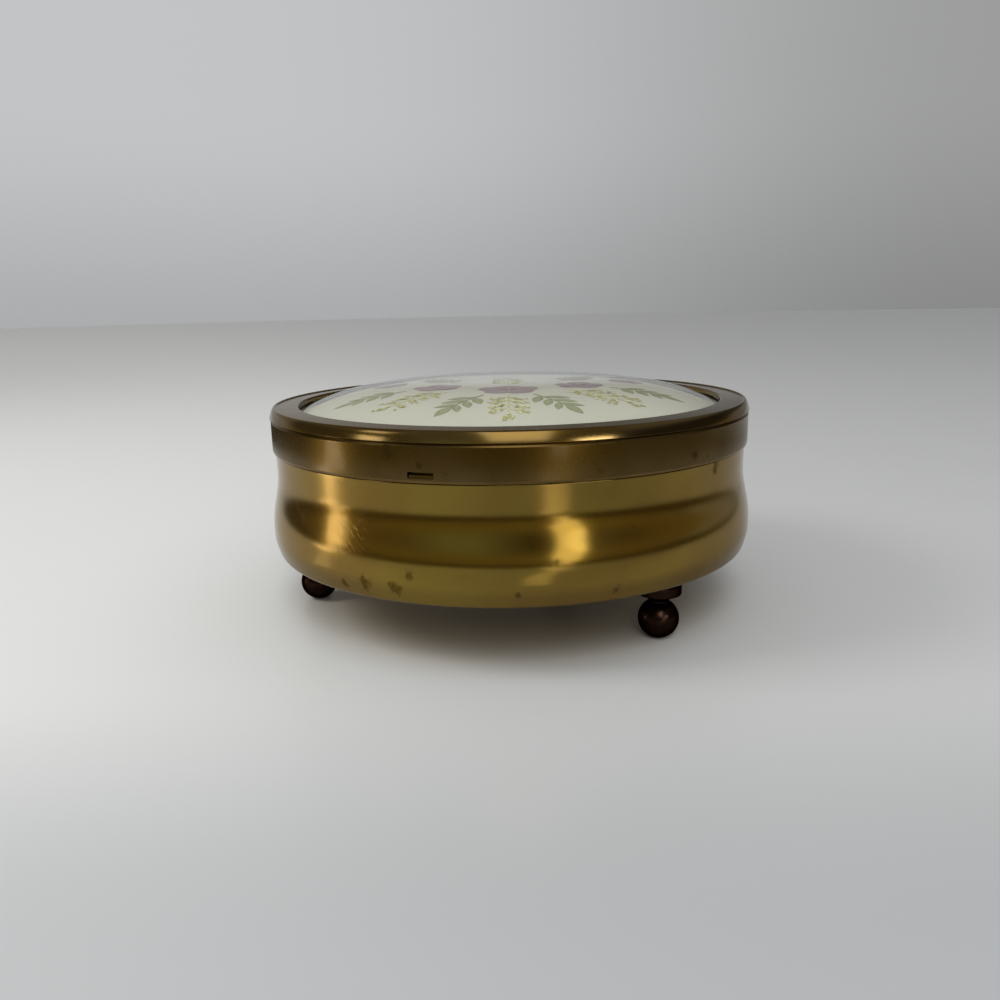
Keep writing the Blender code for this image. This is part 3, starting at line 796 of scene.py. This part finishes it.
for number in range(LANCE_COUNT):
    degrees = LANCE_TURN + number * 360 / LANCE_COUNT
    outward = Vector((sin(radians(degrees)), -cos(radians(degrees)), 0.0))
    window_size = (LANCE_WIDTH, LID_SHEET * 4, LANCE_TAB + LANCE_SLOT)
    centre = outward * (LID_RADIUS - LID_SHEET / 2)
    centre.z = skirt_foot + LANCE_FOOT + window_size[2] / 2
    join_to(lid, rounded_bar("window", window_size, WINDOW_EDGE, centre, degrees), "DIFFERENCE")
    centre = outward * (LID_RADIUS - LID_SHEET * STRIP_SHARE)
    centre.z = skirt_foot + LANCE_FOOT + LANCE_TAB / 2 - STRIP_EDGE / 2
    strip_size = (LANCE_WIDTH - LID_SHEET / 3, LID_SHEET * STRIP_SHARE, LANCE_TAB + STRIP_EDGE)
    join_to(lid, rounded_bar("strip", strip_size, STRIP_EDGE, centre, degrees), "UNION")
finish_piece(lid, lid_brass, "lid", ("lid_shell",), sharp=80)


# Clear cover. A shallow cap pressed from clear sheet, with a flat rim caught under the brass lip.
# It is smooth and very glossy, so at a low angle it mirrors the wall and the flowers fade.
COVER_THICKNESS = 0.0004
DOME_FULLNESS = 4
CLEAR_TINT = (0.985, 0.99, 0.98, 1.0)
CLEAR_IOR = 1.45

dome_radius = lip_radius - SEAT_GAP


def dome(radius):
    """Height of the cap above its flat rim, at a distance from the axis. It is fuller than a slice
    of a ball: nearly flat in the middle and steeper at the edge."""
    return COVER_RISE * (1 - (min(radius, dome_radius) / dome_radius) ** DOME_FULLNESS)


def domed(rim_height, outer_radius, steps=48):
    """A profile over the cap from the axis, and out along its flat rim."""
    cap = [dome_radius * step / steps for step in range(steps + 1)]
    cap = [Vector((radius, rim_height + dome(radius))) for radius in cap]
    return cap + [Vector((outer_radius, rim_height))]


clear_sheet, place = new_paint("Clear cover")
rubbing = scratches_along(place, 25.0, 0.02) + scratches_along(place, -60.0, 0.015)
ripples = relief(place, noise(place, 60.0, 2.0) - rubbing * 0.02, 0.2, 0.0001)
gloss = place.node(
    "BsdfPrincipled",
    {
        "Base Color": (1.0, 1.0, 1.0, 1.0),
        "Metallic": 1.0,
        "Roughness": 0.05 + rubbing * 0.1,
        "Normal": ripples,
    },
)
through = place.node("BsdfTransparent", {"Color": CLEAR_TINT})
inside = place.node("NewGeometry", {}, output="Backfacing")
mirror = place.node("Fresnel", {"IOR": CLEAR_IOR, "Normal": ripples}) * (1 - inside)
surface = place.node("MixShader", {0: mirror, 1: through, 2: gloss})
place.node("OutputMaterial", {"Surface": surface})

cover = spin_up("clear_dome", domed(cover_rim, cover_high.x))
apply_modifier(cover, "SOLIDIFY", thickness=COVER_THICKNESS, offset=-1.0, use_even_offset=True)
finish_piece(cover, clear_sheet, "lid", ("clear_cover",))


# Silk ground. A disc of fine celadon silk, stretched over the wadding, with the flowers pressed
# between it and the cover.
SILK_THICKNESS = 0.0004
SILK_LIFT = 0.00065
WEAVE_PITCH = 0.00025
THREAD_RUN = 0.015
SILK_DARK = (0.56, 0.56, 0.47, 1.0)
SILK_PALE = (0.60, 0.60, 0.51, 1.0)
SILK_THREAD = (0.46, 0.47, 0.38, 1.0)

silk_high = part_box("silk_ground")[1]
silk_rim = silk_high.z - COVER_RISE + SILK_LIFT

celadon_silk, place = new_paint("Celadon silk")
warp = noise(stretched(place, (WEAVE_PITCH, THREAD_RUN, 1.0)), 1.0, 1.0)
weft = noise(stretched(place, (THREAD_RUN, WEAVE_PITCH, 1.0)), 1.0, 1.0)
weave = warp * 0.5 + weft * 0.5
ground = mixed(noise(place, 70.0, 3.0), SILK_DARK, SILK_PALE)
end_paint(
    place,
    {
        "Base Color": mixed(weave * 0.3, ground, SILK_THREAD),
        "Roughness": 0.55 + weave * 0.1,
        "Sheen Weight": 0.25,
        "Normal": relief(place, weave, 0.3, 0.00004),
    },
)

silk = spin_up("silk", domed(silk_rim, silk_high.x))
apply_modifier(silk, "SOLIDIFY", thickness=SILK_THICKNESS, offset=-1.0, use_even_offset=True)
finish_piece(silk, celadon_silk, "lid", ("silk_ground",))


# Pressed blossoms. Five mauve flowers in a crescent, the largest in front. Each has five real
# petals, dried flat with their veins showing, round a small tuft of stamens.
PETAL_WIDTHS = (0.10, 0.20, 0.34, 0.50, 0.65, 0.78, 0.88, 0.95, 0.98, 0.95, 0.86, 0.68, 0.34)
PETAL_COUNT = 5
PETAL_THICKNESS = 0.00004
PETAL_PALE = (0.31, 0.23, 0.27, 1.0)
PETAL_PALER = (0.41, 0.33, 0.36, 1.0)
PETAL_VEIN = (0.22, 0.15, 0.20, 1.0)
PETAL_ROOT = (0.60, 0.55, 0.38, 1.0)
PETAL_EDGE = (0.30, 0.20, 0.18, 1.0)
PRESSED_LIFT = 0.00004
STAMEN_COUNT = 9
STAMEN_WIDTHS = (0.12, 0.10, 0.10, 0.10, 0.20, 0.34, 0.22)
BLOSSOM_TWIST = 200
BLOSSOM_PLACES = (
    (0.0, -0.34, 0.137),
    (-0.33, -0.19, 0.114),
    (0.33, -0.19, 0.114),
    (-0.58, 0.06, 0.087),
    (0.58, 0.06, 0.087),
)


def resize_points(piece, chosen, shares):
    """Draws the points of the active piece that a test chooses in towards its origin."""
    bpy.ops.object.mode_set(mode="EDIT")
    bpy.ops.mesh.select_all(action="DESELECT")
    bpy.ops.object.mode_set(mode="OBJECT")
    for point in piece.data.vertices:
        point.select = chosen(point)
    bpy.ops.object.mode_set(mode="EDIT")
    bpy.ops.transform.resize(value=shares, center_override=(0, 0, 0))
    bpy.ops.object.mode_set(mode="OBJECT")


def thin_strip(name, length, widths):
    """A grid from y = 0 to y = length, each row drawn in to its share of the full width."""
    rows = len(widths) - 1
    deselect()
    bpy.ops.mesh.primitive_grid_add(
        x_subdivisions=6, y_subdivisions=rows, size=length, location=(0, length / 2, 0)
    )
    bpy.ops.object.transform_apply(location=True)
    strip = bpy.context.object
    strip.name = name
    for row, width in enumerate(widths):
        resize_points(
            strip, lambda point: round(point.co.y * rows / length) == row, (width, 1.0, 1.0)
        )
    return strip


def copy_of(pattern, place, degrees, size):
    """A copy with its own mesh, not yet applied: in place, turned about its foot and scaled."""
    copy = pattern.copy()
    copy.data = pattern.data.copy()
    bpy.context.collection.objects.link(copy)
    copy.location = (*place, cover_high.z)
    copy.rotation_euler = (0.0, 0.0, radians(degrees))
    copy.scale = (size, size, 1.0)
    return copy


def joined(name, parts):
    """Applies the places of several parts and joins them into one piece."""
    deselect()
    for part in parts:
        part.select_set(True)
    bpy.context.view_layer.objects.active = parts[0]
    bpy.ops.object.transform_apply(location=True, rotation=True, scale=True)
    if len(parts) > 1:
        bpy.ops.object.join()
    parts[0].name = name
    return parts[0]


def press(name, layers):
    """Presses layers of flat parts onto the silk, one over the other, as one thin piece."""
    pressed = []
    for number, parts in enumerate(layers, 1):
        layer = joined(name, parts)
        apply_modifier(
            layer,
            "SHRINKWRAP",
            target=silk,
            wrap_method="PROJECT",
            use_project_z=True,
            use_negative_direction=True,
            use_positive_direction=False,
            offset=PRESSED_LIFT * number,
        )
        apply_modifier(layer, "SOLIDIFY", thickness=PETAL_THICKNESS, offset=0.0)
        pressed.append(layer)
    return joined(name, pressed)


def put_away(*patterns):
    for pattern in patterns:
        bpy.data.objects.remove(pattern)


def plant_paint(name, build):
    """A dried petal or leaf, drawn on the part's own map: u across it and v along it."""
    material, place = new_paint(name)
    colour, ribs = build(place.node("TexCoord", {}, output="UV"), place)
    dried = {"Base Color": colour, "Roughness": 0.75, "Normal": relief(place, ribs, 0.4, 0.00005)}
    end_paint(place, dried)
    return material


def mauve_petal(flat, place):
    across = axis_of(flat, "X") - 0.5
    along = axis_of(flat, "Y")
    off_middle = (across * across) ** 0.5
    veins = noise(stretched(flat, (0.045, 0.5, 1.0)), 1.0, 2.0)
    tone = noise(place, 350.0, 3.0)
    colour = mixed(tone, PETAL_PALE, PETAL_PALER)
    colour = mixed(step_between(veins, 0.45, 0.7) * 0.6, colour, PETAL_VEIN)
    colour = mixed(step_between(along, 0.4, 0.05) * 0.8, colour, PETAL_ROOT)
    edge = step_between(off_middle, 0.36, 0.5) + step_between(along, 0.86, 1.0)
    colour = mixed(edge * 0.45, colour, PETAL_EDGE)
    return colour, veins


petal_paint = plant_paint("Pressed petals", mauve_petal)
petal = thin_strip("petal", 1.0, PETAL_WIDTHS)
stamen = thin_strip("stamen", 0.3, STAMEN_WIDTHS)

for number, (across, forward, size) in enumerate(BLOSSOM_PLACES, 1):
    middle = (across * dome_radius, forward * dome_radius)
    length = size * dome_radius
    petals = []
    for one in range(PETAL_COUNT):
        turn = across * BLOSSOM_TWIST + 360 / PETAL_COUNT * one
        petals.append(copy_of(petal, middle, turn, length))
        petals[-1].scale.x = length * (0.92 + 0.08 * sin(one * 2.4 + number))
    tuft = []
    for one in range(STAMEN_COUNT):
        tuft.append(copy_of(stamen, middle, 360 / STAMEN_COUNT * one + 11 * number, length))
    layers = [[petals[0], petals[2]], [petals[1], petals[3]], [petals[4]], tuft]
    blossom = press(f"pressed_blossom_{number}", layers)
    finish_piece(blossom, petal_paint, "lid", (f"blossom_{number}",))
put_away(petal, stamen)


# Pressed leaf sprigs. Six sprigs of narrow leaflets in pairs, grey-green and a little browned. They
# are real leaves, dried flat and laid round the blossoms.
LEAFLET_WIDTHS = (0.04, 0.12, 0.24, 0.33, 0.38, 0.38, 0.34, 0.26, 0.15, 0.03)
LEAFLET_PAIRS = 3
LEAFLET_SHARE = 0.36
LEAFLET_SPREAD = 48
LEAFLET_START = 0.85
LEAFLET_STAGGER = 0.08
LEAFLET_SIZE = 0.98
SIZE_LOSS = 0.09
SPREAD_LOSS = 4
STEM_END = 0.3
SPRIG_STEM = 1.08
STEM_WIDTHS = (0.030, 0.028, 0.026, 0.024, 0.021, 0.018, 0.015)
LEAF_GREY = (0.22, 0.27, 0.14, 1.0)
LEAF_GREEN = (0.34, 0.36, 0.22, 1.0)
LEAF_VEIN = (0.42, 0.43, 0.28, 1.0)
LEAF_MIDRIB = (0.45, 0.42, 0.25, 1.0)
LEAF_EDGE = (0.30, 0.22, 0.12, 1.0)
SPRIG_PLACES = (
    (-0.11, -0.50, 0.34, 236),
    (0.11, -0.50, 0.34, 304),
    (-0.47, -0.26, 0.34, 202),
    (0.47, -0.26, 0.34, 338),
    (-0.26, 0.0, 0.36, 118),
    (0.26, 0.0, 0.36, 62),
)


def green_leaf(flat, place):
    across = axis_of(flat, "X") - 0.5
    along = axis_of(flat, "Y")
    off_middle = (across * across) ** 0.5
    midrib = step_between(off_middle, 0.07, 0.02)
    slant = (along + off_middle * -0.9) * 9.0
    side_veins = step_between(slant.node("Math", {0: slant}, operation="FRACT"), 0.14, 0.0)
    tone = noise(place, 420.0, 3.0)
    colour = mixed(tone, LEAF_GREY, LEAF_GREEN)
    colour = mixed(side_veins * 0.4, colour, LEAF_VEIN)
    colour = mixed(midrib * 0.8, colour, LEAF_MIDRIB)
    colour = mixed(step_between(off_middle, 0.38, 0.5) * 0.5, colour, LEAF_EDGE)
    return colour, tone + midrib


def direction(degrees):
    return Vector((cos(radians(degrees)), sin(radians(degrees))))


leaf_paint = plant_paint("Pressed leaves", green_leaf)
leaflet = thin_strip("leaflet", 1.0, LEAFLET_WIDTHS)
stem = thin_strip("stem", 1.0, STEM_WIDTHS)

for number, (across, forward, size, heading) in enumerate(SPRIG_PLACES, 1):
    foot = Vector((across, forward)) * dome_radius
    length = size * dome_radius
    along = direction(heading)
    reach = length * (1 - LEAFLET_SHARE)
    stems = [copy_of(stem, foot, heading - 90, reach * SPRIG_STEM)]
    leaflets = [copy_of(leaflet, foot + along * reach, heading - 90, length * LEAFLET_SHARE)]
    for pair in range(LEAFLET_PAIRS):
        for side in (-1, 1):
            up_stem = pair + LEAFLET_START + side * LEAFLET_STAGGER
            root = foot + along * reach * up_stem / (LEAFLET_PAIRS + STEM_END)
            leaf_size = length * LEAFLET_SHARE * (LEAFLET_SIZE - SIZE_LOSS * pair)
            turn = heading - 90 + side * (LEAFLET_SPREAD - SPREAD_LOSS * pair)
            leaflets.append(copy_of(leaflet, root, turn, leaf_size))
    sprig = press(f"pressed_leaf_sprig_{number}", [leaflets, stems])
    finish_piece(sprig, leaf_paint, "lid", (f"leaf_sprig_{number}",))
put_away(leaflet)


# Pressed floret sprays. Four branching sprays, thick with dried yellow-green florets hardly a
# millimetre across, some of them faded to cream.
FLORET_SIZE = 0.00085
FLORET_POINTS = 10
FLORET_NOTCH = 0.5
BRANCH_PAIRS = 4
BRANCH_SHARE = 0.27
BRANCH_SPREAD = 52
BRANCH_START = 0.8
BRANCH_STAGGER = 0.1
BRANCH_STEM = 0.9
BRANCH_WIDTH = 0.26
SPRAY_STEM = 1.2
FLORETS_PER_BRANCH = 13
FLORET_LAYERS = 4
FLORET_GREEN = (0.46, 0.44, 0.14, 1.0)
FLORET_PALE = (0.60, 0.58, 0.28, 1.0)
FLORET_CREAM = (0.86, 0.86, 0.66, 1.0)
FLORET_DARK = (0.24, 0.24, 0.08, 1.0)
SPRAY_PLACES = (
    (-0.27, -0.36, 0.39, 222),
    (0.27, -0.36, 0.39, 318),
    (0.0, -0.51, 0.36, 270),
    (0.0, -0.16, 0.34, 90),
)

floret_paint, place = new_paint("Pressed florets")
grains = noise(place, 1400.0, 3.0, 0.6)
patches = step_between(noise(place, 500.0, 2.0), 0.4, 0.6)
colour = mixed(patches, FLORET_GREEN, FLORET_PALE)
colour = mixed(step_between(grains, 0.56, 0.66), colour, FLORET_CREAM)
colour = mixed(step_between(grains, 0.42, 0.34) * 0.7, colour, FLORET_DARK)
dried = {"Base Color": colour, "Roughness": 0.75, "Normal": relief(place, grains, 0.6, 0.00006)}
end_paint(place, dried)

deselect()
bpy.ops.mesh.primitive_circle_add(vertices=FLORET_POINTS, radius=0.5, fill_type="TRIFAN")
floret = bpy.context.object
resize_points(
    floret,
    lambda point: point.co.length > 0.4 and point.index % 2 == 0,
    (FLORET_NOTCH, FLORET_NOTCH, 1.0),
)

chance = Random(7)
for number, (across, forward, size, heading) in enumerate(SPRAY_PLACES, 1):
    foot = Vector((across, forward)) * dome_radius
    length = size * dome_radius
    along = direction(heading)
    reach = length * (1 - BRANCH_SHARE)
    stems = [copy_of(stem, foot, heading - 90, reach * SPRAY_STEM)]
    tips = [(foot + along * reach, heading)]
    for pair in range(BRANCH_PAIRS):
        for side in (-1, 1):
            up_stem = pair + BRANCH_START + side * BRANCH_STAGGER
            root = foot + along * reach * up_stem / (BRANCH_PAIRS + STEM_END)
            tips.append((root, heading + side * BRANCH_SPREAD * chance.uniform(0.85, 1.1)))
    layers = [[] for _ in range(FLORET_LAYERS)]
    for root, turn in tips:
        branch = length * BRANCH_SHARE
        stems.append(copy_of(stem, root, turn - 90, branch * BRANCH_STEM))
        outward = direction(turn)
        aside = Vector((-outward.y, outward.x))
        for one in range(FLORETS_PER_BRANCH):
            step = chance.uniform(0.35, 1.0)
            spread = chance.uniform(-BRANCH_WIDTH, BRANCH_WIDTH) * step
            spot = root + outward * branch * step + aside * branch * spread
            floret_size = FLORET_SIZE * chance.uniform(0.7, 1.1)
            layers[one % FLORET_LAYERS].append(
                copy_of(floret, spot, chance.uniform(0, 360), floret_size)
            )
    spray = press(f"pressed_floret_spray_{number}", [stems, *layers])
    finish_piece(spray, floret_paint, "lid", (f"floret_spray_{number}",))
put_away(floret, stem)


# Wadding. A round pad of carded cotton, laid behind the silk as thick as the lid will take. It
# presses the silk and the flowers up against the cover.
COTTON_STEPS = 128
CAP_STEPS = 24
WADDING_EDGE = 0.0012
WADDING_SAG = 0.0003
COTTON_DARK = (0.80, 0.77, 0.70, 1.0)
COTTON_WHITE = (0.90, 0.89, 0.85, 1.0)

cotton, place = new_paint("Cotton wadding")
fluff = noise(place, 900.0, 6.0, 0.7)
end_paint(
    place,
    {
        "Base Color": mixed(fluff, COTTON_DARK, COTTON_WHITE),
        "Roughness": 0.95,
        "Normal": relief(place, fluff, 0.8, 0.0003),
    },
)

wadding_low, wadding_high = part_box("wadding_pad")
wadding_rim = wadding_high.z - COVER_RISE
cap_end = wadding_high.x - WADDING_EDGE
wadding_profile = []
for step in range(CAP_STEPS + 1):
    radius = cap_end * step / CAP_STEPS
    wadding_profile.append(Vector((radius, wadding_rim + dome(radius))))
wadding_profile += rounded(
    [
        (cap_end, wadding_rim + dome(cap_end), 0),
        (wadding_high.x, wadding_rim + dome(wadding_high.x) - WADDING_SAG, WADDING_EDGE),
        (wadding_high.x, wadding_low.z, WADDING_EDGE / 4),
        (0.0, wadding_low.z, 0),
    ]
)[1:]
wadding = spin_up("cotton_pad", wadding_profile, COTTON_STEPS)
finish_piece(wadding, cotton, "lid", ("wadding_pad",))


# Lock plate and lining. A tinned plate with an upturned edge, pushed into the lid from below,
# holds the stack against the lip, and a disc of the bowl's velvet is glued under it.
TIN_BRIGHT = (0.62, 0.61, 0.58, 1.0)
TIN_DULL = (0.50, 0.49, 0.46, 1.0)

tinned, place = new_paint("Tinned plate")
spangle = place.node("TexVoronoi", {"Vector": place, "Scale": 260.0}, output="Color")
dull = noise(place, 120.0, 4.0)
end_paint(
    place,
    {
        "Base Color": mixed(dull, TIN_BRIGHT, TIN_DULL),
        "Metallic": 1.0,
        "Roughness": 0.28 + axis_of(spangle, "X") * 0.12 + dull * 0.1,
    },
)
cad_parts["lock_plate"].data.materials[0] = tinned

lining_low, lining_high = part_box("lid_lining")
lining_edge = (lining_high.z - lining_low.z) / 2
lining_profile = rounded(
    [
        (0.0, lining_high.z, 0),
        (lining_high.x, lining_high.z, lining_edge / 4),
        (lining_high.x, lining_low.z, lining_edge),
        (0.0, lining_low.z, 0),
    ]
)
lining = spin_up("velvet_lining", lining_profile, VELVET_STEPS)
finish_piece(lining, wine_velvet, "lid", ("lid_lining",))
